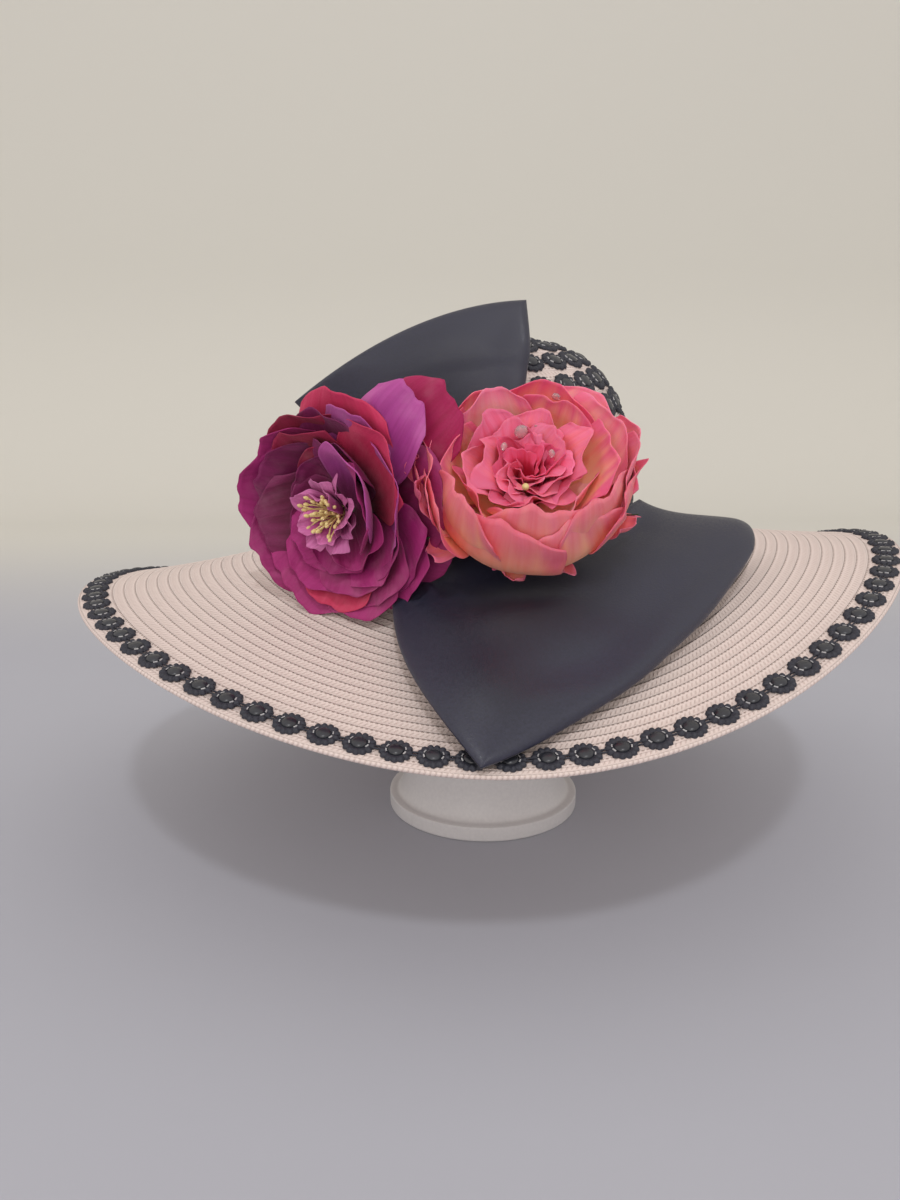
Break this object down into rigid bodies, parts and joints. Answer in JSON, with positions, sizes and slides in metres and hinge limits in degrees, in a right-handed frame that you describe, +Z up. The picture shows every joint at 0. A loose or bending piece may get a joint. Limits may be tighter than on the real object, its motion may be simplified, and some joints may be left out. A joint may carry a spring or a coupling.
{
  "type": "picture hat on a display stand",
  "caption": "Wide brimmed straw picture hat with a domed crown, daisy trim, a stiff satin bow and two large silk flowers, on a plain round display stand.",
  "frame": {"origin": "centre of the stand foot's flat underside, on the table", "axes": "+Z up, the hat's front towards -Y, +X towards the raised side of the brim, the wearer's left"},
  "size_m": [0.4743, 0.4376, 0.3098],
  "materials": {
    "straw": "sewn paper straw braid, matt",
    "daisy_trim": "black cord trim with glossy beads",
    "satin": "stiff twill satin with a soft sheen",
    "magenta_silk": "dyed silk, matt",
    "burgundy_silk": "dyed silk, matt",
    "coral_silk": "dyed silk, matt",
    "pink_silk": "dyed silk, matt",
    "stamen": "pale yellow threads",
    "sepal": "waxed green cloth",
    "stand_white": "frosted white"
  },
  "bodies": {
    "root": {"crown": "straw", "brim": "straw", "brim_trim": "daisy_trim", "crown_trim": "daisy_trim", "bow_wing_lower": "satin", "bow_wing_upper": "satin", "bow_knot": "satin", "coral_outer_petals": "coral_silk", "coral_middle_petals": "coral_silk", "coral_inner_petals": "pink_silk", "coral_centre": "pink_silk", "coral_calyx": "sepal", "magenta_outer_petals": "magenta_silk", "magenta_middle_petals": "magenta_silk", "magenta_inner_petals": "burgundy_silk", "magenta_calyx": "sepal", "magenta_stamens": "stamen", "stand": "stand_white"}
  },
  "joints": []
}
